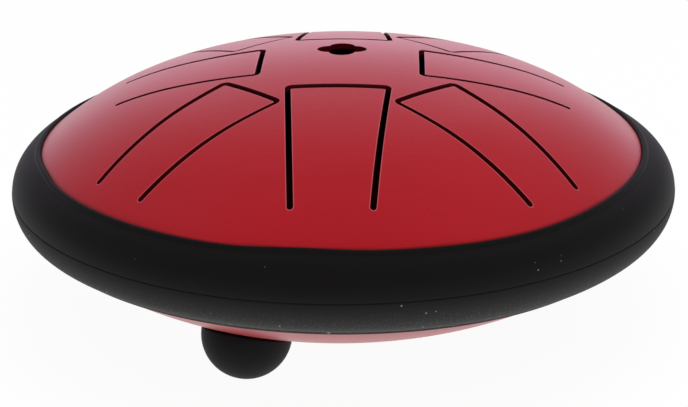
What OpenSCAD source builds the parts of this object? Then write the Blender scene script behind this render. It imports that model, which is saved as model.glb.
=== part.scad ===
/* [Dish] */
// Radius of each dish where its edge turns down, mm
edge_r = 65; // [63.5:0.5:70]
// Height of the turned edge above the joint plane, mm
edge_h = 8.2; // [6.5:0.1:10]
// Outer radius of the flat crown arc, mm
crown_r = 150; // [120:1:190]
// Distance from the axis where the crown arc meets the shoulder arc, mm
crown_reach = 37; // [30:0.5:42]
// Outer radius of the rounder shoulder arc, mm
shoulder_r = 72.5; // [62:0.5:85]
// Thickness of the pressed steel sheet, mm
sheet_t = 1.2; // [0.8:0.1:1.5]

/* [Turned edge] */
// Outer bend radius between the shoulder and the upright wall, mm
knuckle_r = 2.5; // [2:0.1:3.2]
// Outer bend radius between the wall and the flange, mm
root_bend_r = 0.8; // [0.5:0.1:1.2]
// Width of the flat flange outside its bend, mm
flange_w = 2.4; // [1.8:0.1:3.5]
// Radius of the weld bead that joins the two flanges, mm
weld_r = 0.75; // [0.5:0.05:0.8]

/* [Tongues] */
// Width of the cut round each tongue, mm
slot_w = 1.2; // [0.8:0.1:1.6]
// Radius of the cut's centre line at the free corners, mm
corner_r = 1; // [0.9:0.1:1.6]
// Distance from the axis to the free ends on the main axes, mm
main_start = 17.4; // [16:0.1:19]
// Distance from the axis to the free ends on the diagonals, mm
diagonal_start = 25.4; // [24.5:0.1:28]
// Width of the front and back tongues at their free ends, mm
long_end_w = 21; // [18:0.2:21.6]
// Width of the front and back tongues at their roots, mm
long_root_w = 15.8; // [13:0.2:18]
// Width of the side tongues at their free ends, mm
side_end_w = 18.8; // [16:0.2:20]
// Width of the side tongues at their roots, mm
side_root_w = 16; // [13:0.2:18]
// Width of the diagonal tongues at their free ends, mm
diagonal_end_w = 17.2; // [15:0.2:17.8]
// Width of the diagonal tongues at their roots, mm
diagonal_root_w = 13.6; // [11:0.2:15]
// Length of the front tongue, the lowest note, mm
front_len = 39.1; // [34:0.1:42]
// Length of the front right tongue, mm
front_right_len = 35.1; // [31:0.1:36]
// Length of the front left tongue, mm
front_left_len = 34.5; // [31:0.1:36]
// Length of the right tongue, mm
right_len = 31; // [27:0.1:36]
// Length of the left tongue, mm
left_len = 30.1; // [27:0.1:36]
// Length of the back right tongue, mm
back_right_len = 29.4; // [26:0.1:34]
// Length of the back left tongue, mm
back_left_len = 28.8; // [26:0.1:34]
// Length of the back tongue, the highest note, mm
back_len = 27.8; // [25:0.1:34]

/* [Sound hole] */
// Radius of each of the four lobes, mm
lobe_r = 2.75; // [2.2:0.05:3.2]
// Distance from the middle of the hole to the middle of a lobe, mm
lobe_offset = 2.65; // [2.2:0.05:3]
// Distance of the hole behind the drum's axis, mm
hole_back = 6.4; // [4:0.1:8]

/* [Rubber ring] */
// Rubber left outside the weld at the widest point, mm
ring_cover = 2.5; // [1.8:0.1:4]
// Radius of the bead along each lip, mm
lip_bead_r = 0.7; // [0.5:0.05:0.9]
// Height of the lip above the edge of the dish, mm
lip_proud = 0.45; // [0.3:0.05:0.6]
// Clearance between the rubber and the steel it grips, mm
ring_gap = 0.15; // [0.05:0.05:0.3]
// Height of the mould parting groove above the joint plane, mm
groove_h = 0.6; // [0:0.1:1.5]
// Radius of the mould parting groove, mm
groove_r = 0.16; // [0.1:0.02:0.3]

/* [Feet] */
// Radius of each half-ball foot, mm
foot_r = 9.4; // [8:0.1:11]
// Distance from the axis to the middle of each foot, mm
foot_reach = 42; // [38:0.1:46]
// Turn of the front foot from the front tongue towards the left, degrees
foot_turn = 26; // [0:1:60]
// Radius of the flat that each foot stands on, mm
foot_flat_r = 2; // [1:0.1:3]
// Thickness of the adhesive pad under each foot, mm
pad_t = 0.4; // [0.2:0.1:0.8]
// Distance from the rim of a foot in to the rim of its pad, mm
pad_inset = 0.9; // [0.5:0.1:2]

/* [Hidden] */
$fn = 128;

shell_red = "#A3212A";
rubber_black = "#1E1E1F";
weld_grey = "#7C7A78";
pad_grey = "#3A3A3C";

// Angle of the surface where the crown meets the shoulder
crown_angle = asin(crown_reach / crown_r);
// Middle of the shoulder arc, across
shoulder_x = crown_reach - shoulder_r * sin(crown_angle);
// Angle of the surface where the shoulder meets the knuckle
edge_angle = asin((edge_r - shoulder_x) / shoulder_r);
// Heights of the arcs' middles above the joint plane
shoulder_z = edge_h - shoulder_r * cos(edge_angle);
crown_z = shoulder_z + (shoulder_r - crown_r) * cos(crown_angle);
dome_h = crown_z + crown_r;
// Middle of the knuckle arc
knuckle_x = edge_r - knuckle_r * sin(edge_angle);
knuckle_z = edge_h - knuckle_r * cos(edge_angle);
// Outsides of the upright wall, of the flange's bend and of the flange
wall_r = knuckle_x + knuckle_r;
bend_r = wall_r + root_bend_r;
flange_r = bend_r + flange_w;
// Outside of the whole drum, and the round section of the ring: it meets the edge of each dish
ring_r = flange_r + weld_r + ring_gap + ring_cover;
ring_w = ring_r - edge_r;
ring_round_r = (ring_w * ring_w + edge_h * edge_h) / (2 * ring_w);
ring_middle_r = ring_r - ring_round_r;
// Overrun of every cut past the faces it goes through
cut_over = 2 * sheet_t;

// Height of the outside of a dish above the joint plane at distance r from the axis
function dish_z(r) = r < crown_reach
    ? crown_z + sqrt(crown_r * crown_r - r * r)
    : shoulder_z + sqrt(shoulder_r * shoulder_r - (r - shoulder_x) * (r - shoulder_x));

// Slope of the dish there
function dish_slope(r) = r < crown_reach
    ? asin(r / crown_r)
    : asin((r - shoulder_x) / shoulder_r);

// The feet sit square on the lower dish, and the joint plane is as high as they hold it
foot_tilt = dish_slope(foot_reach);
foot_middle_r = foot_reach + pad_t * sin(foot_tilt);
foot_middle_z = dish_z(foot_reach) + pad_t * cos(foot_tilt);
foot_drop = sqrt(foot_r * foot_r - foot_flat_r * foot_flat_r);
joint_z = foot_middle_z + foot_drop;
// Turn of the front foot about the axis, from +X, and of each foot from the one before it
foot_start = -90 - foot_turn;
foot_step = 120;

// Each tongue: turn from the front, start, width at the free end, width at the root, length
tongues = [
    [0, main_start, long_end_w, long_root_w, front_len],
    [45, diagonal_start, diagonal_end_w, diagonal_root_w, front_right_len],
    [90, main_start, side_end_w, side_root_w, right_len],
    [135, diagonal_start, diagonal_end_w, diagonal_root_w, back_right_len],
    [180, main_start, long_end_w, long_root_w, back_len],
    [225, diagonal_start, diagonal_end_w, diagonal_root_w, back_left_len],
    [270, main_start, side_end_w, side_root_w, left_len],
    [315, diagonal_start, diagonal_end_w, diagonal_root_w, front_left_len]
];

// Piece of the plane around the origin between directions a and b, out past the given reach
module wedge(reach, a, b) {
    far = 2 * reach;
    middle = (a + b) / 2;
    polygon([
        [0, 0],
        [far * cos(a), far * sin(a)],
        [far * cos(middle), far * sin(middle)],
        [far * cos(b), far * sin(b)]
    ]);
}

// Part of a bent sheet's section: outer radius r, between directions a and b
module sheet_arc(r, a, b) {
    intersection() {
        difference() {
            circle(r = r);
            circle(r = r - sheet_t);
        }
        wedge(r, a, b);
    }
}

// Half section of one pressed shell: crown, shoulder, knuckle, wall, bend and flange
module shell_section() {
    translate([0, crown_z])
        sheet_arc(crown_r, 90 - crown_angle, 90);
    translate([shoulder_x, shoulder_z])
        sheet_arc(shoulder_r, 90 - edge_angle, 90 - crown_angle);
    translate([knuckle_x, knuckle_z])
        sheet_arc(knuckle_r, 0, 90 - edge_angle);
    translate([wall_r - sheet_t, sheet_t + root_bend_r])
        square([sheet_t, knuckle_z - sheet_t - root_bend_r]);
    translate([bend_r, sheet_t + root_bend_r])
        sheet_arc(root_bend_r + sheet_t, 180, 270);
    translate([bend_r, 0])
        square([flange_w, sheet_t]);
}

// Solid inside of a dish above the joint plane, with its outside moved out by grow
module dish_inside(grow) {
    split = crown_reach + grow * sin(crown_angle);
    rotate_extrude() {
        intersection() {
            translate([0, crown_z])
                circle(r = crown_r + grow);
            square([split, 2 * dome_h]);
        }
        intersection() {
            translate([shoulder_x, shoulder_z])
                circle(r = shoulder_r + grow);
            translate([split, 0])
                square([edge_r - split, 2 * dome_h]);
        }
    }
}

// Plan of the U-shaped cut round one tongue that points along +X
module tongue_cut(start, end_w, root_w, length) {
    taper = atan((end_w - root_w) / 2 / length);
    // Middle of the bend at the free corner, and the leg's length from there to the root
    bend_x = start + corner_r;
    bend_y = end_w / 2 - corner_r * (1 + sin(taper)) / cos(taper);
    leg = (length - corner_r * (1 + sin(taper))) / cos(taper);
    translate([start - slot_w / 2, -bend_y])
        square([slot_w, 2 * bend_y]);
    for (side = [0, 1])
        mirror([0, side])
            translate([bend_x, bend_y]) {
                intersection() {
                    difference() {
                        circle(r = corner_r + slot_w / 2);
                        circle(r = corner_r - slot_w / 2);
                    }
                    wedge(corner_r + slot_w, 90 - taper, 180);
                }
                rotate(-taper) {
                    translate([0, corner_r - slot_w / 2])
                        square([leg, slot_w]);
                    translate([leg, corner_r])
                        circle(r = slot_w / 2);
                }
            }
}

// Plan of the sound hole: four round lobes that meet in the middle
module sound_hole_plan() {
    square(2 * lobe_offset, center = true);
    for (turn = [0:90:270])
        rotate(turn)
            translate([lobe_offset, 0])
                circle(r = lobe_r);
}

module top_shell() {
    color(shell_red)
        translate([0, 0, joint_z])
            difference() {
                rotate_extrude()
                    shell_section();
                for (t = tongues)
                    rotate(t[0] - 90)
                        linear_extrude(dome_h + cut_over)
                            tongue_cut(t[1], t[2], t[3], t[4]);
                translate([0, hole_back, 0])
                    linear_extrude(dome_h + cut_over)
                        sound_hole_plan();
            }
}

module bottom_shell() {
    color(shell_red)
        translate([0, 0, joint_z])
            mirror([0, 0, 1])
                rotate_extrude()
                    shell_section();
}

// Half-round bead that runs round the outer edges of both flanges
module edge_weld() {
    color(weld_grey)
        translate([0, 0, joint_z])
            rotate_extrude()
                intersection() {
                    translate([flange_r, 0])
                        circle(r = weld_r);
                    translate([flange_r, -weld_r])
                        square([weld_r, 2 * weld_r]);
                }
}

// Space in the ring's section that the steel takes, with its clearance
module ring_seat() {
    fit_wall_r = wall_r + ring_gap;
    fit_flange_h = sheet_t + ring_gap;
    fit_flange_r = flange_r + weld_r + ring_gap;
    translate([0, -knuckle_z])
        square([fit_wall_r, 2 * knuckle_z]);
    translate([0, -fit_flange_h])
        square([fit_flange_r, 2 * fit_flange_h]);
    for (side = [-1, 1]) {
        translate([knuckle_x, side * knuckle_z])
            circle(r = knuckle_r + ring_gap);
        // Room for the bend between wall and flange
        difference() {
            translate([fit_wall_r, side < 0 ? -sheet_t - root_bend_r : 0])
                square([root_bend_r - ring_gap, sheet_t + root_bend_r]);
            translate([bend_r, side * (sheet_t + root_bend_r)])
                circle(r = root_bend_r - ring_gap);
        }
    }
}

module rim_ring() {
    bead_z = edge_h + lip_proud - lip_bead_r;
    groove_x = ring_middle_r + sqrt(ring_round_r * ring_round_r - groove_h * groove_h);
    color(rubber_black)
        translate([0, 0, joint_z])
            rotate_extrude()
                difference() {
                    union() {
                        intersection() {
                            translate([ring_middle_r, 0])
                                circle(r = ring_round_r);
                            translate([edge_r, -2 * edge_h])
                                square([2 * ring_w, 4 * edge_h]);
                        }
                        for (side = [-1, 1])
                            translate([edge_r + lip_bead_r, side * bead_z])
                                circle(r = lip_bead_r);
                    }
                    ring_seat();
                    translate([groove_x, groove_h])
                        circle(r = groove_r);
                }
}

// Places a foot's parts: the origin is the middle of its ball, and +Z points into the dish
module at_foot(turn) {
    rotate(turn)
        translate([foot_middle_r, 0, foot_drop])
            rotate([0, -foot_tilt, 0])
                children();
}

// The lower dish as a solid, with its outside moved out by grow
module lower_dish(grow) {
    translate([0, 0, joint_z])
        mirror([0, 0, 1])
            dish_inside(grow);
}

// Half ball of rubber whose rim follows the lower dish, cut flat where it stands
module foot(turn) {
    color(rubber_black)
        difference() {
            at_foot(turn)
                rotate_extrude() {
                    intersection() {
                        circle(r = foot_r);
                        translate([0, -foot_r])
                            square(foot_r);
                    }
                    square([foot_r, foot_r / 4]);
                }
            lower_dish(pad_t);
            translate([-ring_r, -ring_r, -foot_r])
                cube([2 * ring_r, 2 * ring_r, foot_r]);
        }
}

// Adhesive pad between a foot and the lower dish
module pad(turn) {
    color(pad_grey)
        difference() {
            intersection() {
                lower_dish(pad_t);
                at_foot(turn)
                    cylinder(r = foot_r - pad_inset, h = foot_r, center = true);
            }
            lower_dish(0);
        }
}

module foot_front() { foot(foot_start); }
module foot_right() { foot(foot_start + foot_step); }
module foot_rear() { foot(foot_start + 2 * foot_step); }
module pad_front() { pad(foot_start); }
module pad_right() { pad(foot_start + foot_step); }
module pad_rear() { pad(foot_start + 2 * foot_step); }

top_shell();
bottom_shell();
edge_weld();
rim_ring();
foot_front();
foot_right();
foot_rear();
pad_front();
pad_right();
pad_rear();
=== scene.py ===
import math

import bmesh
import bpy
from mathutils import Matrix, Vector
from mathutils.geometry import delaunay_2d_cdt
from mathutils.kdtree import KDTree


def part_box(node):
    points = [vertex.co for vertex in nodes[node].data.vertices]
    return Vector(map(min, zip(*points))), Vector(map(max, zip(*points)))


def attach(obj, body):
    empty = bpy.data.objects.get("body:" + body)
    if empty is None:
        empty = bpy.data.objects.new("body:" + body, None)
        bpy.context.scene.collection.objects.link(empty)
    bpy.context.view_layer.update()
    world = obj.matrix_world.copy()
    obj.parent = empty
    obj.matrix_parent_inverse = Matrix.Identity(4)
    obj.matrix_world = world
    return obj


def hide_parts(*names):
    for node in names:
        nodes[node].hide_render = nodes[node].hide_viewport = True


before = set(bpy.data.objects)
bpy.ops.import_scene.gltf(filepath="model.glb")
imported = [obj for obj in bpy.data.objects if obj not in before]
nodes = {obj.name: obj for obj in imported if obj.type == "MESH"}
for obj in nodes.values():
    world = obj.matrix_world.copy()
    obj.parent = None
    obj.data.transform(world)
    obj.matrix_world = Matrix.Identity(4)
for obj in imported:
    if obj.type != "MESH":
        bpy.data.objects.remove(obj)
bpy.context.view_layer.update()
print("frame loaded:", len(nodes), "nodes")

# all pieces below are worked out in mm above the plane where the two dishes meet
mm = 0.001
weldLow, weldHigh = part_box("edge_weld")
jointHeight = (weldLow.z + weldHigh.z) / 2 / mm

spinCount = 256         # points round the axis on every spun piece
sharpAngle = 35         # degrees between faces from which an edge stays crisp


# small helpers

def hexToLinear(text):
    values = [int(text[i:i + 2], 16) / 255 for i in (1, 3, 5)]
    return [v / 12.92 if v <= 0.04045 else ((v + 0.055) / 1.055) ** 2.4 for v in values] + [1.0]


def perMetre(size):
    # scale of a pattern that repeats every `size` mm
    return 1000 / size


def easeInOut(share):
    # the same share with a soft start and end
    return share * share * (3 - 2 * share)


def turnsRound(count):
    # evenly spread angles round an axis
    return [2 * math.pi * i / count for i in range(count)]


def turned(x, y, angle):
    # a place or a direction, turned round the axis
    return x * math.cos(angle) - y * math.sin(angle), x * math.sin(angle) + y * math.cos(angle)


def addNode(tree, kind, settings=None, links=None):
    # settings go to inputs or properties; a link comes from a node's first output or from a given one.
    # A mix of colours has them on inputs 6 and 7 and its result on output 2
    node = tree.nodes.new(kind)
    for key, value in (settings or {}).items():
        if isinstance(key, int) or key in node.inputs:
            node.inputs[key].default_value = value
        else:
            setattr(node, key, value)
    for key, source in (links or {}).items():
        tree.links.new(source.outputs[0] if isinstance(source, bpy.types.Node) else source, node.inputs[key])
    return node


def newMaterial(name):
    # an empty material, its tree and the coordinates in metres that its patterns are laid out on
    material = bpy.data.materials.new(name)
    material.use_nodes = True
    tree = material.node_tree
    tree.nodes.clear()
    return material, tree, addNode(tree, "ShaderNodeTexCoord").outputs["Object"]


def smoothMesh(mesh):
    mesh.shade_smooth()
    mesh.set_sharp_from_angle(angle=math.radians(sharpAngle))


def buildPiece(name, points, faces, material, replaced, place=None):
    # points in mm; the finished piece rides on the body and stands for its CAD node
    mesh = bpy.data.meshes.new(name)
    mesh.from_pydata(points, [], faces)
    edit = bmesh.new()
    edit.from_mesh(mesh)
    bmesh.ops.recalc_face_normals(edit, faces=edit.faces)
    edit.to_mesh(mesh)
    edit.free()
    mesh.transform(place or Matrix.Translation((0, 0, jointHeight)))
    mesh.transform(Matrix.Scale(mm, 4))
    smoothMesh(mesh)
    mesh.materials.append(material)
    piece = bpy.data.objects.new(name, mesh)
    bpy.context.scene.collection.objects.link(piece)
    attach(piece, "root")
    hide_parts(replaced)
    return piece


# the camera

cameraSetup = {
    "distance": 401.8,      # mm from the middle of the joint plane
    "elevation": 19.93,     # degrees
    "azimuth": 1.95,        # degrees towards the drum's right
    "side": 0.43,           # mm to the camera's own right
    "pitch": -0.932,        # degrees, after aiming at the middle
    "roll": -0.380,         # degrees
    "lens": 95.22,          # mm
    "sensor": 36,           # mm
    "nearest": 10,          # mm, where its view begins
}


def makeCamera(c):
    elevation, azimuth = math.radians(c["elevation"]), math.radians(c["azimuth"])
    pitch, roll = math.radians(c["pitch"]), math.radians(c["roll"])
    back = Vector((math.sin(azimuth) * math.cos(elevation), -math.cos(azimuth) * math.cos(elevation),
                   math.sin(elevation)))
    forward = -back
    right = forward.cross(Vector((0, 0, 1))).normalized()
    up = right.cross(forward)
    place = back * c["distance"] + right * c["side"] + Vector((0, 0, jointHeight))
    forward, up = (forward * math.cos(pitch) + up * math.sin(pitch),
                   up * math.cos(pitch) - forward * math.sin(pitch))
    right, up = (right * math.cos(roll) + up * math.sin(roll),
                 up * math.cos(roll) - right * math.sin(roll))
    camera = bpy.data.objects.new("camera", bpy.data.cameras.new("camera"))
    camera.data.lens = c["lens"]
    camera.data.sensor_width = c["sensor"]
    camera.data.clip_start = c["nearest"] * mm
    aim = Matrix((right, up, -forward)).transposed().to_4x4()
    camera.matrix_world = Matrix.Translation(place * mm) @ aim
    bpy.context.scene.collection.objects.link(camera)
    bpy.context.scene.camera = camera


makeCamera(cameraSetup)
print("camera set")


# the studio: a white table under the drum, a white sweep behind it that darkens upwards and to both
# sides, a dark room on the camera's side, a grey ceiling, and one large soft lamp above the camera

studio = {
    "sweepStrength": 2.0,
    "sweepColour": "#F2E9FF",
    "roomColour": "#F1E8FF",
    "sweepTurn": -2,        # degrees from straight behind to the middle of the sweep
    # share of the full brightness, by degrees above the horizon and by degrees to either side of that middle
    "upward": ((0, 1.0), (6, 0.8), (12, 0.62), (18, 0.52), (26, 0.41), (35, 0.205), (45, 0.063), (62, 0.036),
               (86, 0.045)),
    "sideways": ((8, 1.0), (20, 0.84), (30, 0.6), (42, 0.4), (60, 0.25), (85, 0.17), (110, 0.08)),
    # the grey ceiling, by the same angles
    "ceiling": ((14, 0.0), (26, 0.019), (35, 0.055), (46, 0.091), (56, 0.096), (66, 0.072), (86, 0.036)),
    "ceilingSideways": ((85, 1.0), (115, 0.3)),
    "floorColour": "#F2F2F1",
    "floorReach": 6.0,      # m from the drum to each edge of the table
    "floorGrain": 1.111,    # mm between the bumps of the paper
    "floorGrainDepth": 0.1,     # mm
    "floorShadow": 0.05,    # how much of its shadow the white floor shows
    "floorBounce": 1.0,     # share of even white in the light that the floor throws back on the drum
    "lampPower": 26.5,      # W
    "lampSize": 1.6,        # m
    "lampDistance": 1.4,    # m
    "lampTilt": 14,         # degrees from overhead
    "lampTurn": 32,         # degrees from the camera's side to the right
}


def setLevels(node, stops, full):
    # grey levels along a colour ramp whose far end stands for that many degrees
    ramp = node.color_ramp
    while len(ramp.elements) < len(stops):
        ramp.elements.new(1.0)
    for element, (place, level) in zip(ramp.elements, stops):
        element.position = place / full
        element.color = (level, level, level, 1)


def makeRoom(s):
    world = bpy.data.worlds.new("studioWorld")
    world.use_nodes = True
    bpy.context.scene.world = world
    tree = world.node_tree
    tree.nodes.clear()
    direction = addNode(tree, "ShaderNodeTexCoord").outputs["Generated"]
    parts = addNode(tree, "ShaderNodeSeparateXYZ", links={0: direction}).outputs
    height = addNode(tree, "ShaderNodeMath", {"operation": "ARCSINE"}, {0: parts["Z"]})
    turn = addNode(tree, "ShaderNodeMath", {"operation": "ARCTAN2"}, {0: parts["X"], 1: parts["Y"]})
    middle = math.radians(s["sweepTurn"])
    turn = addNode(tree, "ShaderNodeMath", {"operation": "SUBTRACT", 1: middle}, {0: turn})
    turn = addNode(tree, "ShaderNodeMath", {"operation": "ABSOLUTE"}, {0: turn})
    # sweep and ceiling: one level by height times one by turn
    levels = []
    for upward, sideways in (("upward", "sideways"), ("ceiling", "ceilingSideways")):
        pair = []
        for angle, stops, full in ((height, s[upward], 90), (turn, s[sideways], 180)):
            share = addNode(tree, "ShaderNodeMath", {"operation": "DIVIDE", 1: math.radians(full)},
                            {0: angle})
            level = addNode(tree, "ShaderNodeValToRGB", links={0: share})
            setLevels(level, stops, full)
            pair.append(level)
        levels.append(addNode(tree, "ShaderNodeMath", {"operation": "MULTIPLY"}, {0: pair[0], 1: pair[1]}))
    level = addNode(tree, "ShaderNodeMath", {"operation": "ADD"}, {0: levels[0], 1: levels[1]})
    colour = addNode(tree, "ShaderNodeMix", {
        "data_type": "RGBA", 6: hexToLinear(s["roomColour"]), 7: hexToLinear(s["sweepColour"])}, {0: level})
    strength = addNode(tree, "ShaderNodeMath", {"operation": "MULTIPLY", 1: s["sweepStrength"]}, {0: level})
    room = addNode(tree, "ShaderNodeBackground", links={"Color": colour.outputs[2], "Strength": strength})
    addNode(tree, "ShaderNodeOutputWorld", links={"Surface": room})


def makePaper(s):
    # matt white paper: the camera and reflections see it nearly as even white, with a trace of the shadow
    material, tree, coords = newMaterial("mattPaperTable")
    grain = addNode(tree, "ShaderNodeTexNoise", {"Scale": perMetre(s["floorGrain"]), "Detail": 2.0},
                    {"Vector": coords})
    bump = addNode(tree, "ShaderNodeBump", {"Strength": 0.05, "Distance": s["floorGrainDepth"] * mm},
                   {"Height": grain})
    matt = addNode(tree, "ShaderNodeBsdfPrincipled", {
        "Base Color": hexToLinear(s["floorColour"]), "Roughness": 0.9}, {"Normal": bump})
    glow = addNode(tree, "ShaderNodeEmission", {"Color": (1, 1, 1, 1), "Strength": 1.0})
    path = addNode(tree, "ShaderNodeLightPath").outputs
    seen = path["Is Camera Ray"]
    for ray in ("Is Glossy Ray", "Is Transmission Ray"):
        seen = addNode(tree, "ShaderNodeMath", {"operation": "MAXIMUM"}, {0: seen, 1: path[ray]})
    white = addNode(tree, "ShaderNodeMath", {"operation": "MULTIPLY", 1: 1 - s["floorShadow"]}, {0: seen})
    bounce = addNode(tree, "ShaderNodeMath", {"operation": "MULTIPLY", 1: s["floorBounce"]},
                     {0: path["Is Diffuse Ray"]})
    share = addNode(tree, "ShaderNodeMath", {"operation": "MAXIMUM"}, {0: white, 1: bounce})
    mix = addNode(tree, "ShaderNodeMixShader", links={0: share, 1: matt, 2: glow})
    addNode(tree, "ShaderNodeOutputMaterial", links={"Surface": mix})
    material.cycles.emission_sampling = "NONE"      # it isn't a lamp: only rays that reach it see it
    return material


def makeTable(s):
    reach = s["floorReach"]
    corners = [(-reach, -reach, 0), (reach, -reach, 0), (reach, reach, 0), (-reach, reach, 0)]
    mesh = bpy.data.meshes.new("table")
    mesh.from_pydata(corners, [], [(0, 1, 2, 3)])
    mesh.materials.append(makePaper(s))
    table = bpy.data.objects.new("table", mesh)
    bpy.context.scene.collection.objects.link(table)


def makeLamp(s):
    data = bpy.data.lights.new("softLamp", "AREA")
    data.size = s["lampSize"]
    data.energy = s["lampPower"]
    data.cycles.use_multiple_importance_sampling = False
    lamp = bpy.data.objects.new("softLamp", data)
    turn = Matrix.Rotation(math.radians(s["lampTurn"]), 4, "Z")
    tilt = Matrix.Rotation(math.radians(s["lampTilt"]), 4, "X")
    lamp.matrix_world = turn @ tilt @ Matrix.Translation((0, 0, s["lampDistance"]))
    lamp.visible_camera = False
    lamp.visible_glossy = False     # cross-polarised: it colours the coat and leaves no shine
    bpy.context.scene.collection.objects.link(lamp)


bpy.context.scene.view_settings.view_transform = "Standard"
makeRoom(studio)
makeTable(studio)
makeLamp(studio)
print("studio lit")


# red coat: polyester powder, baked on. It flows out smooth and satin with a faint orange peel, and a paler
# colour is painted along every cut edge as a highlight. The walls of the cuts and the inside of the shells
# are painted a dark red as shade, and so is the shell's edge under the ring's lip, as the lip's shadow. A
# few dark specks of grit are baked in

coat = {
    "colour": "#A51B23",
    "deepColour": "#9D1920",    # where the coat is thickest
    "highlightColour": "#BC656E",    # painted highlight along the edges of the cuts
    "shadeColour": "#52050A",    # painted shade on the walls of the cuts, inside the shells and under the ring's lip
    "roughness": 0.34,
    "roughnessSpread": 0.03,    # more or less than that, with the thickness
    "peelSize": 0.42,           # mm between the swells of the orange peel
    "peelDepth": 0.08,          # mm
    "cloudSize": 28,            # mm across the areas of slightly thicker coat
    "speckSpacing": 9,          # mm between baked-in specks
    "speckSize": 0.3,           # mm, the largest
    "speckRarity": 3,           # the higher, the fewer large ones
    "speckColour": "#3A0A10",
}


def makePowderCoat(c):
    material, tree, coords = newMaterial("powderCoatedSteel")
    cloud = addNode(tree, "ShaderNodeTexNoise", {"Scale": perMetre(c["cloudSize"]), "Detail": 3.0},
                    {"Vector": coords})
    body = addNode(tree, "ShaderNodeMix", {
        "data_type": "RGBA", 6: hexToLinear(c["colour"]), 7: hexToLinear(c["deepColour"])}, {0: cloud})
    # one speck in every cell, most of them too small to show
    cells = addNode(tree, "ShaderNodeTexVoronoi", {"Scale": perMetre(c["speckSpacing"]), "Randomness": 1.0},
                    {"Vector": coords})
    pick = addNode(tree, "ShaderNodeSeparateColor", links={0: cells.outputs["Color"]})
    size = addNode(tree, "ShaderNodeMath", {"operation": "POWER", 1: c["speckRarity"]}, {0: pick})
    largest = c["speckSize"] / c["speckSpacing"]
    size = addNode(tree, "ShaderNodeMath", {"operation": "MULTIPLY", 1: largest}, {0: size})
    speck = addNode(tree, "ShaderNodeMath", {"operation": "LESS_THAN"},
                    {0: cells.outputs["Distance"], 1: size})
    # the shells' meshes say where a highlight and where shade are painted
    edge = addNode(tree, "ShaderNodeAttribute", {"attribute_name": "edgeHighlight"}).outputs["Fac"]
    wall = addNode(tree, "ShaderNodeAttribute", {"attribute_name": "paintedShade"}).outputs["Fac"]
    for where, colour in ((edge, "highlightColour"), (wall, "shadeColour"), (speck, "speckColour")):
        body = addNode(tree, "ShaderNodeMix", {"data_type": "RGBA", 7: hexToLinear(c[colour])},
                       {0: where, 6: body.outputs[2]})
    gloss = addNode(tree, "ShaderNodeMapRange", {
        "To Min": c["roughness"] - c["roughnessSpread"],
        "To Max": c["roughness"] + c["roughnessSpread"]}, {"Value": cloud})
    peel = addNode(tree, "ShaderNodeTexNoise", {"Scale": perMetre(c["peelSize"]), "Detail": 1.0},
                   {"Vector": coords})
    bump = addNode(tree, "ShaderNodeBump", {"Strength": 0.5, "Distance": c["peelDepth"] * mm},
                   {"Height": peel})
    skin = addNode(tree, "ShaderNodeBsdfPrincipled", {"IOR": 1.5},
                   {"Base Color": body.outputs[2], "Roughness": gloss, "Normal": bump})
    addNode(tree, "ShaderNodeOutputMaterial", links={"Surface": skin})
    return material


powderCoatedSteel = makePowderCoat(coat)


# black ring: synthetic rubber moulded in two halves. The upper half of the mould was polished and the
# lower one left coarser, so below the parting line it is rougher and holds pale dust. Low down its black is
# painted a paler grey, a painted reflection of the white floor

ringRubber = {
    "colour": "#141312",
    "floorLightColour": "#363534",   # down at the lower lip: painted reflection of the white floor
    "floorLightFade": (2, -7),         # mm above the joint plane, from the black to the painted floor light
    "shine": 0.16,              # mould release left the skin dull
    "roughness": 0.6,
    "lowerRoughness": 0.68,
    "grainSize": 0.35,          # mm between the pits of the coarser half
    "grainDepth": 0.04,         # mm
    "grainStrength": (0.05, 0.3),   # of the bump, in the polished half and in the coarser one
    "pitColour": "#525153",     # the pale dots of its grain
    "pitLevels": (0.54, 0.68),  # where they show in the grain's own 0 to 1
    "dustSpacing": 2.3,         # mm
    "dustSize": 0.36,           # mm
    "dustColour": "#8A8986",
    "driftSize": 14,            # mm across the drifts that dust lies in
    "driftLevels": (0.38, 0.56),
    "dustHeights": (4, -5),     # mm above the joint plane, from little dust to all of it
    "highDust": 0.25,           # share of it that lies above that
    "partingHeight": 0.6,       # mm above the joint plane
    "partingBlur": 0.05,        # mm to either side
}


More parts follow.
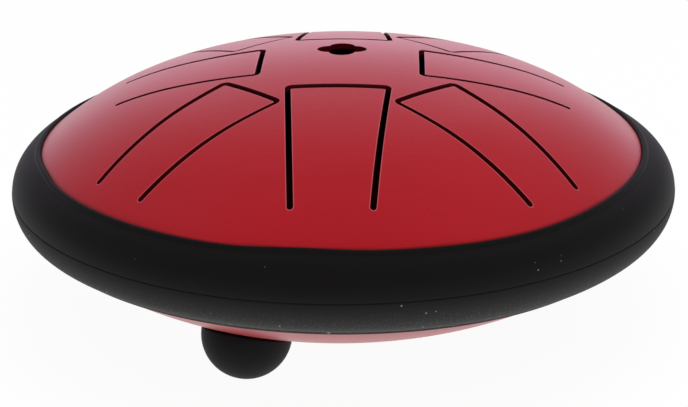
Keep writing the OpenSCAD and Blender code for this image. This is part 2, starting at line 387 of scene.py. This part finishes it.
def makeRingRubber(c):
    material, tree, coords = newMaterial("mouldedRingRubber")
    height = addNode(tree, "ShaderNodeSeparateXYZ", links={0: coords}).outputs["Z"]

    def between(start, end):
        return {"From Min": start, "From Max": end}

    def heights(high, low):
        return between((jointHeight + high) * mm, (jointHeight + low) * mm)

    parting = heights(c["partingHeight"] + c["partingBlur"], c["partingHeight"] - c["partingBlur"])
    lower = addNode(tree, "ShaderNodeMapRange", parting, {"Value": height})
    floorLightFade = {"interpolation_type": "SMOOTHSTEP", **heights(*c["floorLightFade"])}
    floorLit = addNode(tree, "ShaderNodeMapRange", floorLightFade, {"Value": height})
    body = addNode(tree, "ShaderNodeMix", {
        "data_type": "RGBA", 6: hexToLinear(c["colour"]), 7: hexToLinear(c["floorLightColour"])}, {0: floorLit})
    # pits of the grain, more of them the lower down, along with the painted floor light
    grain = addNode(tree, "ShaderNodeTexNoise", {"Scale": perMetre(c["grainSize"]), "Detail": 2.0},
                    {"Vector": coords})
    pits = addNode(tree, "ShaderNodeMapRange", between(*c["pitLevels"]), {"Value": grain})
    floorLitSquared = addNode(tree, "ShaderNodeMath", {"operation": "POWER", 1: 2.0}, {0: floorLit})
    pits = addNode(tree, "ShaderNodeMath", {"operation": "MULTIPLY"}, {0: pits, 1: floorLitSquared})
    # dust lies in drifts, thicker low down
    cells = addNode(tree, "ShaderNodeTexVoronoi", {"Scale": perMetre(c["dustSpacing"]), "Randomness": 1.0},
                    {"Vector": coords})
    pick = addNode(tree, "ShaderNodeSeparateColor", links={0: cells.outputs["Color"]})
    smear = addNode(tree, "ShaderNodeTexNoise", {"Scale": perMetre(c["driftSize"]), "Detail": 4.0},
                    {"Vector": coords})
    drift = addNode(tree, "ShaderNodeMapRange", between(*c["driftLevels"]), {"Value": smear})
    low = addNode(tree, "ShaderNodeMapRange", {**heights(*c["dustHeights"]), "To Min": c["highDust"]},
                  {"Value": height})
    amount = addNode(tree, "ShaderNodeMath", {"operation": "MULTIPLY"}, {0: drift, 1: low})
    amount = addNode(tree, "ShaderNodeMath", {"operation": "MULTIPLY"}, {0: amount, 1: pick})
    largest = c["dustSize"] / c["dustSpacing"]
    size = addNode(tree, "ShaderNodeMath", {"operation": "MULTIPLY", 1: largest}, {0: amount})
    dust = addNode(tree, "ShaderNodeMath", {"operation": "LESS_THAN"},
                   {0: cells.outputs["Distance"], 1: size})
    for where, colour in ((pits, "pitColour"), (dust, "dustColour")):
        body = addNode(tree, "ShaderNodeMix", {"data_type": "RGBA", 7: hexToLinear(c[colour])},
                       {0: where, 6: body.outputs[2]})
    gloss = addNode(tree, "ShaderNodeMapRange", {"To Min": c["roughness"], "To Max": c["lowerRoughness"]},
                    {"Value": lower})
    polished, coarse = c["grainStrength"]
    deep = addNode(tree, "ShaderNodeMapRange", {"To Min": polished, "To Max": coarse}, {"Value": lower})
    bump = addNode(tree, "ShaderNodeBump", {"Distance": c["grainDepth"] * mm},
                   {"Strength": deep, "Height": grain})
    skin = addNode(tree, "ShaderNodeBsdfPrincipled", {"IOR": 1.5, "Specular IOR Level": c["shine"]},
                   {"Base Color": body.outputs[2], "Roughness": gloss, "Normal": bump})
    addNode(tree, "ShaderNodeOutputMaterial", links={"Surface": skin})
    return material


mouldedRingRubber = makeRingRubber(ringRubber)


# feet: softer black rubber, cast smooth, with a slight bloom that greys it in patches

footRubber = {
    "colour": "#0E0E0F",
    "bloomColour": "#161517",
    "bloomSize": 6,         # mm across the patches
    "shine": 0.13,
    "roughness": 0.62,
    "roughnessSpread": 0.05,    # more or less than that, with the bloom
    "grainSize": 0.5,       # mm
    "grainDepth": 0.03,     # mm
}


def makeFootRubber(c):
    material, tree, coords = newMaterial("castFootRubber")
    bloom = addNode(tree, "ShaderNodeTexNoise", {"Scale": perMetre(c["bloomSize"]), "Detail": 4.0},
                    {"Vector": coords})
    body = addNode(tree, "ShaderNodeMix", {
        "data_type": "RGBA", 6: hexToLinear(c["colour"]), 7: hexToLinear(c["bloomColour"])}, {0: bloom})
    gloss = addNode(tree, "ShaderNodeMapRange", {
        "To Min": c["roughness"] - c["roughnessSpread"],
        "To Max": c["roughness"] + c["roughnessSpread"]}, {"Value": bloom})
    grain = addNode(tree, "ShaderNodeTexNoise", {"Scale": perMetre(c["grainSize"]), "Detail": 2.0},
                    {"Vector": coords})
    bump = addNode(tree, "ShaderNodeBump", {"Strength": 0.1, "Distance": c["grainDepth"] * mm},
                   {"Height": grain})
    skin = addNode(tree, "ShaderNodeBsdfPrincipled", {"IOR": 1.5, "Specular IOR Level": c["shine"]},
                   {"Base Color": body.outputs[2], "Roughness": gloss, "Normal": bump})
    addNode(tree, "ShaderNodeOutputMaterial", links={"Surface": skin})
    return material


castFootRubber = makeFootRubber(footRubber)


# pads: closed-cell foam tape, cut edges show its fine open cells

padFoam = {
    "colour": "#29292B",
    "cellColour": "#161617",
    "cellSize": 0.25,       # mm
    "cellDepth": 0.1,       # mm
    "roughness": 0.85,
}


def makePadFoam(c):
    material, tree, coords = newMaterial("closedCellFoamTape")
    cells = addNode(tree, "ShaderNodeTexVoronoi", {"Scale": perMetre(c["cellSize"])}, {"Vector": coords})
    body = addNode(tree, "ShaderNodeMix", {
        "data_type": "RGBA", 6: hexToLinear(c["cellColour"]), 7: hexToLinear(c["colour"])},
        {0: cells.outputs["Distance"]})
    bump = addNode(tree, "ShaderNodeBump", {"Strength": 0.5, "Distance": c["cellDepth"] * mm},
                   {"Height": cells.outputs["Distance"]})
    skin = addNode(tree, "ShaderNodeBsdfPrincipled", {"Roughness": c["roughness"]},
                   {"Base Color": body.outputs[2], "Normal": bump})
    addNode(tree, "ShaderNodeOutputMaterial", links={"Surface": skin})
    return material


# weld: bare mild steel bead, rippled and heat-stained, hidden inside the ring

weldBead = {
    "colour": "#8B8986",
    "stainColour": "#5B5048",
    "rippleSize": 0.8,      # mm
    "rippleDepth": 0.2,     # mm
    "roughness": 0.42,
}


def makeWeldBead(c):
    material, tree, coords = newMaterial("weldedMildSteel")
    ripple = addNode(tree, "ShaderNodeTexNoise", {"Scale": perMetre(c["rippleSize"]), "Detail": 2.0},
                     {"Vector": coords})
    body = addNode(tree, "ShaderNodeMix", {
        "data_type": "RGBA", 6: hexToLinear(c["colour"]), 7: hexToLinear(c["stainColour"])}, {0: ripple})
    bump = addNode(tree, "ShaderNodeBump", {"Strength": 0.5, "Distance": c["rippleDepth"] * mm},
                   {"Height": ripple})
    skin = addNode(tree, "ShaderNodeBsdfPrincipled", {"Metallic": 1.0, "Roughness": c["roughness"]},
                   {"Base Color": body.outputs[2], "Normal": bump})
    addNode(tree, "ShaderNodeOutputMaterial", links={"Surface": skin})
    return material


def dressNode(name, material):
    # the CAD's own mesh stays and gets a material
    data = nodes[name].data
    data.materials.clear()
    data.materials.append(material)


foamTape = makePadFoam(padFoam)
for pad in ("pad_front", "pad_right", "pad_rear"):
    dressNode(pad, foamTape)
dressNode("edge_weld", makeWeldBead(weldBead))
print("materials mixed")


# the section of a pressed dish, the same above and below

dish = {
    "edgeRadius": 65.0,         # from the axis to the knuckle that turns down into the wall
    "edgeHeight": 8.2,          # of that edge above the joint plane
    "crownRadius": 150.0,
    "crownReach": 37.0,         # from the axis to where the rounder shoulder begins
    "shoulderRadius": 72.5,
    "sheet": 1.2,
    "knuckle": 2.5,             # outer radius
    "flangeBend": 0.8,          # inner radius
    "flange": 2.4,              # width of its flat
    "knuckleStep": 0.25,        # mm between points round the knuckle
    "bendStep": 0.2,            # and round the flange's bend
}
crownAngle = math.asin(dish["crownReach"] / dish["crownRadius"])
shoulderX = dish["crownReach"] - dish["shoulderRadius"] * math.sin(crownAngle)
edgeAngle = math.asin((dish["edgeRadius"] - shoulderX) / dish["shoulderRadius"])
shoulderZ = dish["edgeHeight"] - dish["shoulderRadius"] * math.cos(edgeAngle)
crownZ = shoulderZ + (dish["shoulderRadius"] - dish["crownRadius"]) * math.cos(crownAngle)
knuckleX = dish["edgeRadius"] - dish["knuckle"] * math.sin(edgeAngle)
knuckleZ = dish["edgeHeight"] - dish["knuckle"] * math.cos(edgeAngle)
wallRadius = knuckleX + dish["knuckle"]
bendRadius = wallRadius + dish["flangeBend"]
flangeRadius = bendRadius + dish["flange"]


def dishSurface(r, depth=0.0):
    # height and slope of the dish at distance r from the axis, depth below its outer skin
    onCrown = r < dish["crownReach"] - depth * math.sin(crownAngle)
    middleX, middleZ, radius = ((0, crownZ, dish["crownRadius"]) if onCrown
                                else (shoulderX, shoulderZ, dish["shoulderRadius"]))
    radius -= depth
    return middleZ + math.sqrt(radius ** 2 - (r - middleX) ** 2), math.asin((r - middleX) / radius)


def arcPoints(middle, radius, start, end, step):
    # points of an arc from one direction to another, in degrees, about `step` mm apart, five at least
    count = max(4, math.ceil(abs(math.radians(end - start)) * radius / step))
    turns = [math.radians(start + (end - start) * i / count) for i in range(count + 1)]
    return [(middle[0] + radius * math.cos(t), middle[1] + radius * math.sin(t)) for t in turns]


def dishSection(start):
    # from the outer skin at distance `start` out over the flange and back along the inner skin
    sheet, bend = dish["sheet"], dish["flangeBend"]
    count = max(6, round(dish["edgeRadius"] - start))       # about 1 mm apart
    radii = [start + (dish["edgeRadius"] - start) * i / count for i in range(count + 1)]
    points = []
    # the last point of the outer skin and the last two of the inner one give way to the knuckle
    for depth, dropped in ((0, 1), (sheet, 2)):
        run = [(r, dishSurface(r, depth)[0]) for r in radii[:-dropped]]
        run += arcPoints((knuckleX, knuckleZ), dish["knuckle"] - depth, 90 - math.degrees(edgeAngle), 0,
                         dish["knuckleStep"])
        run += arcPoints((bendRadius, sheet + bend), bend + depth, 180, 270, dish["bendStep"])
        if depth == 0:
            points += run + [(flangeRadius, sheet), (flangeRadius, 0)]
        else:
            points += run[::-1]
    return points


def joinRings(rings):
    # faces between each ring of points and the next
    faces = []
    for one, two in zip(rings, rings[1:]):
        count = len(one)
        for i in range(count):
            j = (i + 1) % count
            corners = []
            for index in (one[i], one[j], two[j], two[i]):
                if index not in corners:
                    corners.append(index)
            if len(corners) > 2:
                faces.append(corners)
    return faces


def spin(section, closed=False):
    # turns a section round the axis; a point on the axis becomes a single vertex
    points, rings = [], []
    for r, z in section:
        if r == 0:
            rings.append([len(points)] * spinCount)
            points.append((0, 0, z))
        else:
            rings.append(list(range(len(points), len(points) + spinCount)))
            points += [(r * math.cos(a), r * math.sin(a), z) for a in turnsRound(spinCount)]
    return points, joinRings(rings + rings[:1] if closed else rings)


def markPoints(piece, label, values):
    # a share for each point that the coat's material reads
    piece.data.attributes.new(label, "FLOAT", "POINT").data.foreach_set("value", values)


# the upper shell: eight tongues and the sound hole, cut by laser, edges rounded by the coat

upperDish = {
    "cutWidth": 1.2,
    "cornerRadius": 1.0,
    "cornerSteps": 8,       # points round each corner
    "endSteps": 12,         # points round each end of a cut
    "edgeRounding": 0.06,
    "edgeSteps": 4,         # rings of points down that rounding
    "rim": 0.2,             # mm round each cut over which the painted highlight fades out
    "highlightShare": 0.8,        # how far it goes to the highlight's colour
    "shadeOnset": 3,         # how soon the painted shade sets in down the rounding
    # degrees from the front to the right; in mm, where the cut starts, its width at the tongue's free end
    # and at the root, its length, and how far the tip was set down in tuning
    "tongues": [
        (0, 17.4, 21.0, 15.8, 39.1, 0.35),
        (45, 25.4, 17.2, 13.6, 35.1, 0.2),
        (90, 17.4, 18.8, 16.0, 31.0, 0.09),
        (135, 25.4, 17.2, 13.6, 29.4, 0.1),
        (180, 17.4, 21.0, 15.8, 27.8, 0.0),
        (225, 25.4, 17.2, 13.6, 28.8, 0.1),
        (270, 17.4, 18.8, 16.0, 30.1, 0.09),
        (315, 25.4, 17.2, 13.6, 34.5, 0.2),
    ],
    "tuningBend": 1.5,      # how that grows from a tongue's root to its tip, as a power
    "lobeRadius": 2.75,     # of the sound hole's four lobes
    "lobeOffset": 2.65,     # from the hole's middle to theirs
    "lobeSteps": 24,        # points round each
    "holeBehind": 6.4,      # behind the drum's axis
    "patchRadius": 62.6,    # of the part of the skin that holds all cuts
    "pointSpacing": 1.7,    # of the field of points that fills it
    "cutGap": 0.95,         # mm that these keep from the cuts
    "rimGap": 0.8,          # and from the patch's rim
    "holeGap": 0.8,         # and from the sound hole,
    "holeReach": 6.6,       # up to that far from its middle
    "holeClear": 6.0,       # mm round its middle that get none
}


def middleLine(tongue):
    # line along the middle of one cut, root to root, with its direction towards the tongue
    turn, start, endWidth, rootWidth, length = tongue[:5]
    corner, steps = upperDish["cornerRadius"], upperDish["cornerSteps"]
    taper = math.atan((endWidth - rootWidth) / 2 / length)
    bendX = start + corner
    bendY = endWidth / 2 - corner * (1 + math.sin(taper)) / math.cos(taper)
    leg = (length - corner * (1 + math.sin(taper))) / math.cos(taper)
    half = [(start, bendY * i / steps, 1.0, 0.0) for i in range(steps + 1)]
    for i in range(1, steps + 1):
        a = math.pi - (math.pi / 2 + taper) * i / steps
        half.append((bendX + corner * math.cos(a), bendY + corner * math.sin(a), -math.cos(a), -math.sin(a)))
    footX, footY = half[-1][:2]
    count = round(leg)      # about 1 mm apart
    for i in range(1, count + 1):
        along = leg * i / count
        half.append((footX + along * math.cos(taper), footY - along * math.sin(taper),
                     -math.sin(taper), -math.cos(taper)))
    line = [(x, -y, nx, -ny) for x, y, nx, ny in half[:0:-1]] + half
    a = math.radians(turn - 90)
    return [(*turned(x, y, a), *turned(nx, ny, a)) for x, y, nx, ny in line]


def cutContour(line, spread):
    # closed outline at `spread` from the middle line; each point with its direction into the cut
    outline = []
    for side, run in ((1, line), (-1, line[::-1])):
        outline += [(x + side * nx * spread, y + side * ny * spread, -side * nx, -side * ny)
                    for x, y, nx, ny in run]
        # half a circle round the end
        x, y, nx, ny = run[-1]
        onX, onY = x - run[-2][0], y - run[-2][1]
        size = math.hypot(onX, onY)
        for i in range(1, upperDish["endSteps"]):
            a = math.pi * i / upperDish["endSteps"]
            outX = side * nx * math.cos(a) + onX / size * math.sin(a)
            outY = side * ny * math.cos(a) + onY / size * math.sin(a)
            outline.append((x + outX * spread, y + outY * spread, -outX, -outY))
    return outline


def holeContour(spread):
    # four lobes; the circles meet in a point between each pair
    lobe, offset = upperDish["lobeRadius"] + spread, upperDish["lobeOffset"]
    meet = (offset + math.sqrt(2 * lobe ** 2 - offset ** 2)) / 2
    limit = math.atan2(meet, meet - offset)
    outline = []
    for quarter in range(4):
        turn = quarter * math.pi / 2
        for i in range(upperDish["lobeSteps"]):
            a = -limit + 2 * limit * (i + 0.5) / upperDish["lobeSteps"]
            x, y = turned(offset + lobe * math.cos(a), lobe * math.sin(a), turn)
            outX, outY = turned(math.cos(a), math.sin(a), turn)
            outline.append((x, y + upperDish["holeBehind"], -outX, -outY))
    return outline


def cutOutlines(out):
    # every cut and then the sound hole, wider than they are by `out` all round
    half = upperDish["cutWidth"] / 2
    cuts = [cutContour(middleLine(tongue), half + out) for tongue in upperDish["tongues"]]
    return cuts + [holeContour(out)]


def tuningDrop(x, y):
    # how far a point of a tongue was bent down, none at the root and most at the tip
    for turn, start, endWidth, rootWidth, length, drop in upperDish["tongues"]:
        out, across = turned(x, y, math.radians(90 - turn))
        along = (out - start) / length
        if 0 < along < 1 and abs(across) < (endWidth + (rootWidth - endWidth) * along) / 2:
            return drop * (1 - along) ** upperDish["tuningBend"]
    return 0.0


# stretched on by hand, the ring's lips don't sit evenly, and along the upper one the shell's edge is painted
# dark as the lip's shadow

ringLips = {
    # degrees from the front to the right, degrees to either side, how much further from the joint than
    # they should be in mm
    "upperWaves": ((-5, 9, 0.36), (-20, 12, -0.12), (35, 20, -0.58), (-70, 6, 0.25), (-88, 12, -0.2)),
    "lowerWaves": ((-34, 48, -0.75), (40, 18, 0.3), (82, 16, -0.35)),
    "shadeReach": 0.5,      # mm in from the shell's edge that the painted shadow reaches
    "shadeFade": 0.4,       # mm
}


def lipLift(angle, waves):
    # how much further from the joint a lip lies at that angle round the axis
    turn = (math.degrees(angle) + 270) % 360 - 180
    return sum(lift * math.exp(-((turn - middle) / reach) ** 2) for middle, reach, lift in waves)


def planTheSkin():
    # points and triangles of the patch in plan, with the points round each cut and on the patch's rim
    patch, gap = upperDish["patchRadius"], upperDish["pointSpacing"]
    rounding = upperDish["edgeRounding"]
    plan, holes = [], []
    for outline in cutOutlines(rounding):
        holes.append(list(range(len(plan), len(plan) + len(outline))))
        plan += [Vector(p[:2]) for p in outline]
    for outline in cutOutlines(rounding + upperDish["rim"]):
        plan += [Vector(p[:2]) for p in outline]
    near = KDTree(len(plan))
    for i, p in enumerate(plan):
        near.insert((p.x, p.y, 0), i)
    near.balance()
    rim = list(range(len(plan), len(plan) + spinCount))
    plan += [Vector((patch * math.cos(a), patch * math.sin(a))) for a in turnsRound(spinCount)]
    # fill the skin with an even field of points, a little off every cut
    rowGap = gap * math.sqrt(0.75)
    rows = math.ceil(patch / rowGap)
    for row in range(-rows, rows + 1):
        for column in range(-rows, rows + 1):
            x, y = (column + 0.5 * (row % 2)) * gap, row * rowGap
            fromHole = math.hypot(x, y - upperDish["holeBehind"])
            cutGap = upperDish["cutGap"] if fromHole > upperDish["holeReach"] else upperDish["holeGap"]
            if (math.hypot(x, y) < patch - upperDish["rimGap"] and fromHole > upperDish["holeClear"]
                    and near.find((x, y, 0))[2] > cutGap):
                plan.append(Vector((x, y)))
    everyTriangle, tolerance = 0, 1e-5      # the kind of result that is asked for, and mm
    _, _, triangles, fromPoints, _, fromHoles = delaunay_2d_cdt(plan, [], holes, everyTriangle, tolerance)
    sources = [s[0] for s in fromPoints]
    triangles = [[sources[i] for i in t] for t, inHole in zip(triangles, fromHoles) if not inHole]
    return plan, triangles, holes, rim


def makeUpperShell():
    sheet, rounding = dish["sheet"], upperDish["edgeRounding"]
    plan, triangles, holes, rim = planTheSkin()
    points, normals, highlights, wall = [], [], [], []

    def addPoint(x, y, z, normal, edgeHighlight, paintedShade):
        points.append((x, y, z - tuningDrop(x, y)))
        normals.append(normal)
        highlights.append(edgeHighlight)
        wall.append(paintedShade)
        return len(points) - 1

    def skinNormal(x, y, slope, side):
        r = math.hypot(x, y) or 1
        return Vector((math.sin(slope) * x / r, math.sin(slope) * y / r, math.cos(slope))) * side

    # the patch, outer skin and inner one
    faces, skins = [], []
    edgeCount = sum(len(hole) for hole in holes)
    # the inner skin is painted dark all over as shade
    for depth, side, paintedShade in ((0, 1, 0.0), (sheet, -1, 1.0)):
        skin = []
        for i, p in enumerate(plan):
            z, slope = dishSurface(p.length, depth)
            # the points on each cut's edge get the painted highlight
            edgeHighlight = upperDish["highlightShare"] if i < edgeCount and side > 0 else 0.0
            skin.append(addPoint(p.x, p.y, z, skinNormal(p.x, p.y, slope, side), edgeHighlight, paintedShade))
        skins.append(skin)
        faces += [[skin[i] for i in t] for t in triangles]
    # walls of the cuts, from the rounded outer edge to the rounded inner one
    steps = upperDish["edgeSteps"]
    turns = [math.radians(90 * i / steps) for i in range(steps + 1)]
    outlines = [cutOutlines(rounding * (1 - math.sin(a))) for a in turns]
    for which, hole in enumerate(holes):
        rings = [[skins[0][i] for i in hole]]
        for depth, side, order in ((0, 1, range(1, steps + 1)), (sheet, -1, range(steps, 0, -1))):
            for k in order:
                a = turns[k]
                drop = rounding * (1 - math.cos(a))
                # down the rounding the painted highlight fades out and the painted shade sets in
                edgeHighlight = upperDish["highlightShare"] * math.cos(a) if side > 0 else 0.0
                paintedShade = min(1, upperDish["shadeOnset"] * math.sin(a)) if side > 0 else 1.0
                ring = []
                for x, y, wallX, wallY in outlines[k][which]:
                    z, slope = dishSurface(math.hypot(x, y), depth)
                    normal = skinNormal(x, y, slope, side) * math.cos(a)
                    normal = (normal + Vector((wallX, wallY, 0)) * math.sin(a)).normalized()
                    ring.append(addPoint(x, y, z - side * drop, normal, edgeHighlight, paintedShade))
                rings.append(ring)
        rings.append([skins[1][i] for i in hole])
        faces += joinRings(rings)
    # shoulder edge, upright wall and flange, between the patch's two rims. Without a normal of their own
    # these points get the mesh's
    rings = [[skins[0][i] for i in rim]]
    for r, z in dishSection(upperDish["patchRadius"])[1:-1]:
        ring = []
        for a in turnsRound(spinCount):
            # the shell's edge under the upper lip is painted dark as its shadow, following the lip's waves
            underLip = r - dish["edgeRadius"] + lipLift(a, ringLips["upperWaves"]) + ringLips["shadeReach"]
            shadeUnderLip = min(1, max(0, underLip / ringLips["shadeFade"]))
            ring.append(addPoint(r * math.cos(a), r * math.sin(a), z, Vector((0, 0, 0)), 0.0, shadeUnderLip))
        rings.append(ring)
    rings.append([skins[1][i] for i in rim])
    faces += joinRings(rings)
    shell = buildPiece("upperShell", points, faces, powderCoatedSteel, "top_shell")
    shell.data.normals_split_custom_set_from_vertices([tuple(n) for n in normals])
    markPoints(shell, "edgeHighlight", highlights)
    markPoints(shell, "paintedShade", wall)
    return shell


upperShell = makeUpperShell()
print("upper shell cut:", len(upperShell.data.vertices), "points")


# the lower shell, plain, its inside painted as dark as the walls of the cuts, as shade

def makeLowerShell():
    points, faces = spin(dishSection(0.0))
    shell = buildPiece("lowerShell", [(x, y, -z) for x, y, z in points], faces, powderCoatedSteel,
                       "bottom_shell")
    # its inner skin is painted dark as shade
    inside = []
    for x, y, z in points:
        middle, _ = dishSurface(min(math.hypot(x, y), dish["edgeRadius"]), dish["sheet"] / 2)
        inside.append(1.0 if z < middle else 0.0)
    markPoints(shell, "paintedShade", inside)


makeLowerShell()
print("lower shell pressed")


# the rubber ring

ring = {
    "outerRadius": 72.17,
    "offCentre": 0.33,          # stretched on by hand, so its outside sits that far to the right
    "offCentreGain": 1.3,       # how soon that sets in, out from the shell's edge
    "lipRadius": 0.7,
    "lipProud": 0.45,           # of the shell's edge
    "creaseRounding": 0.4,      # between each lip and the round
    "clearance": 0.15,
    "partingHeight": ringRubber["partingHeight"],
    "partingDepth": 0.13,       # of the fine groove where the mould's halves met
    "partingWidth": 0.12,
    "partingReach": 4,          # degrees to either side that get finer points
    "halvesStep": 0.04,         # the upper half came out of its mould that much smaller
    "weld": 0.75,               # how far the bead stands out from the flanges
    "still": 2.0,               # mm to either side of the joint plane that no lip's lift reaches
    "slideIn": 1.2,             # mm in along the shell's shoulder for each mm that a lip is lifted
    "slideOut": 0.74,           # and out for each mm that it is pushed down
    "roundSteps": (26, 64, 30),     # points above the parting line, across it and below it
    "lipStep": 0.12,            # mm between points round each lip,
    "creaseStep": 0.08,         # in the crease,
    "seatStep": 0.4,            # round the shell's knuckle
    "bendStep": 0.3,            # and in its flange's bend
}


def whereCirclesMeet(one, oneRadius, two, twoRadius):
    # of the two places, the one to the right on the way from the first circle to the second
    apart = math.hypot(two[0] - one[0], two[1] - one[1])
    along = (apart ** 2 + oneRadius ** 2 - twoRadius ** 2) / 2 / apart
    off = math.sqrt(oneRadius ** 2 - along ** 2)
    ux, uz = (two[0] - one[0]) / apart, (two[1] - one[1]) / apart
    return one[0] + along * ux + off * uz, one[1] + along * uz - off * ux


def directionTo(start, end):
    # in degrees, as arcPoints takes it
    return math.degrees(math.atan2(end[1] - start[1], end[0] - start[0]))


def makeRing(c):
    width = c["outerRadius"] - dish["edgeRadius"]
    roundRadius = (width ** 2 + dish["edgeHeight"] ** 2) / 2 / width
    roundMiddle = (c["outerRadius"] - roundRadius, 0)
    lip = (dish["edgeRadius"] + c["lipRadius"], dish["edgeHeight"] + c["lipProud"] - c["lipRadius"])
    knuckle, seatRadius = (knuckleX, knuckleZ), dish["knuckle"] + c["clearance"]
    # the crease's own small arc touches the lip and the round from outside
    crease = whereCirclesMeet(roundMiddle, roundRadius + c["creaseRounding"],
                              lip, c["lipRadius"] + c["creaseRounding"])
    lipEnd, roundStart = directionTo(lip, crease), directionTo(roundMiddle, crease)
    # where the lip meets the room for the shell's knuckle
    seatEdge = whereCirclesMeet(lip, c["lipRadius"], knuckle, seatRadius)
    above = arcPoints(lip, c["lipRadius"], directionTo(lip, seatEdge), lipEnd, c["lipStep"])
    above += arcPoints(crease, c["creaseRounding"], 180 + lipEnd, 180 + roundStart, c["creaseStep"])[1:]
    below = [(r, -z) for r, z in above]
    # the round, with the two mould halves and the line between them; it ends where the lower crease begins
    parting = math.degrees(math.asin(c["partingHeight"] / roundRadius))
    stops = (roundStart, parting + c["partingReach"], parting - c["partingReach"], -roundStart)
    angles = []
    for start, end, count in zip(stops, stops[1:], c["roundSteps"]):
        angles += [start + (end - start) * i / count for i in range(1, count + 1)]
    around = []
    for t in (math.radians(a) for a in angles[:-1]):
        z = roundRadius * math.sin(t)
        groove = c["partingDepth"] * math.exp(-((z - c["partingHeight"]) / c["partingWidth"]) ** 2)
        radius = roundRadius - groove - (c["halvesStep"] if z > c["partingHeight"] else 0)
        around.append((roundMiddle[0] + radius * math.cos(t), radius * math.sin(t)))
    # the seat that grips both shells
    seat = arcPoints(knuckle, seatRadius, directionTo(knuckle, seatEdge), 0, c["seatStep"])[1:]
    seat += arcPoints((bendRadius, dish["sheet"] + dish["flangeBend"]), dish["flangeBend"] - c["clearance"],
                      180, 270, c["bendStep"])
    seat += [(flangeRadius + c["weld"] + c["clearance"], dish["sheet"] + c["clearance"])]
    section = above + around + below[::-1] + [(r, -z) for r, z in seat] + seat[::-1]
    points, faces = spin(section, closed=True)
    # the lips slide up or down the shells, while the seat below the knuckles stays
    skinCount = spinCount * (len(above) + len(around) + len(below))
    for i, (x, y, z) in enumerate(points):
        a, r = math.atan2(y, x), math.hypot(x, y)
        still = c["still"] if i < skinCount else knuckleZ
        share = min(1, max(0, (abs(z) - still) / (lip[1] - still)))
        lift = lipLift(a, ringLips["upperWaves" if z > 0 else "lowerWaves"]) * easeInOut(share)
        r -= lift * (c["slideIn"] if lift > 0 else c["slideOut"])
        points[i] = (r * math.cos(a), r * math.sin(a), z + (lift if z > 0 else -lift))
    # only the round outside sits off centre
    for i in range(spinCount * len(above), spinCount * (len(above) + len(around))):
        x, y, z = points[i]
        share = min(1, (math.hypot(x, y) - dish["edgeRadius"]) / width * c["offCentreGain"])
        points[i] = (x + c["offCentre"] * easeInOut(share), y, z)
    buildPiece("rubberRing", points, faces, mouldedRingRubber, "rim_ring")


makeRing(ring)
print("ring stretched on")


# the feet: half balls, their tops shaped to the lower dish

foot = {
    "radius": 9.4,
    "reach": 42.0,          # from the drum's axis
    "turn": 26.0,           # degrees from the front to the first foot, towards the left
    "flatRadius": 2.0,      # of the flat that it stands on
    "padThickness": 0.4,
    "rimRounding": 0.3,
    "around": 96,           # points round it
    "ballSteps": 40,        # rings of points up the ball,
    "rimSteps": 3,          # round its rim
    "topSteps": 12,         # and in over its top
}


def makeFoot(name, replaced, turn):
    _, slope = dishSurface(foot["reach"])
    drop = math.sqrt(foot["radius"] ** 2 - foot["flatRadius"] ** 2)
    place = (Matrix.Rotation(math.radians(turn), 4, "Z")
             @ Matrix.Translation((foot["reach"] + foot["padThickness"] * math.sin(slope), 0, drop))
             @ Matrix.Rotation(-slope, 4, "Y"))

    def dishTop(x, y):
        # how far up the foot's own axis the pad's face lies, found by halving
        low, high, halvings = -2.0, 4.0, 30
        for _ in range(halvings):
            z = (low + high) / 2
            p = place @ Vector((x, y, z))
            if jointHeight - p.z > dishSurface(math.hypot(p.x, p.y), -foot["padThickness"])[0]:
                low = z
            else:
                high = z
        return low

    count, radius, rounding = foot["around"], foot["radius"], foot["rimRounding"]
    directions = [(math.cos(a), math.sin(a)) for a in turnsRound(count)]
    points, rings = [(0, 0, -radius)], [[0] * count]

    def addRing(r, heights):
        rings.append(list(range(len(points), len(points) + count)))
        points.extend((r * c, r * s, h) for (c, s), h in zip(directions, heights))

    for i in range(1, foot["ballSteps"] + 1):
        a = math.radians(90 * i / foot["ballSteps"])
        addRing(radius * math.sin(a), [-radius * math.cos(a)] * count)
    tops = [dishTop(radius * c, radius * s) for c, s in directions]
    for i in range(foot["rimSteps"] + 1):
        a = math.radians(90 * i / foot["rimSteps"])
        addRing(radius - rounding * (1 - math.cos(a)), [t - rounding * (1 - math.sin(a)) for t in tops])
    for i in range(1, foot["topSteps"]):
        r = (radius - rounding) * (1 - i / foot["topSteps"])
        addRing(r, [dishTop(r * c, r * s) for c, s in directions])
    rings.append([len(points)] * count)
    points.append((0, 0, dishTop(0, 0)))
    piece = buildPiece(name, points, joinRings(rings), castFootRubber, replaced, place)
    # the flat where the rubber gives under the weight
    edit = bmesh.new()
    edit.from_mesh(piece.data)
    cut = bmesh.ops.bisect_plane(edit, geom=edit.verts[:] + edit.edges[:] + edit.faces[:],
                                 plane_co=(0, 0, 0), plane_no=(0, 0, -1), clear_outer=True)
    rimEdges = [e for e in cut["geom_cut"] if isinstance(e, bmesh.types.BMEdge)]
    bmesh.ops.contextual_create(edit, geom=rimEdges)
    bmesh.ops.recalc_face_normals(edit, faces=edit.faces)
    edit.to_mesh(piece.data)
    edit.free()
    smoothMesh(piece.data)


feet = (("footFront", "foot_front"), ("footRight", "foot_right"), ("footRear", "foot_rear"))
for third, (name, replaced) in enumerate(feet):
    makeFoot(name, replaced, -90 - foot["turn"] + 120 * third)
print("feet glued on")

bpy.context.view_layer.update()
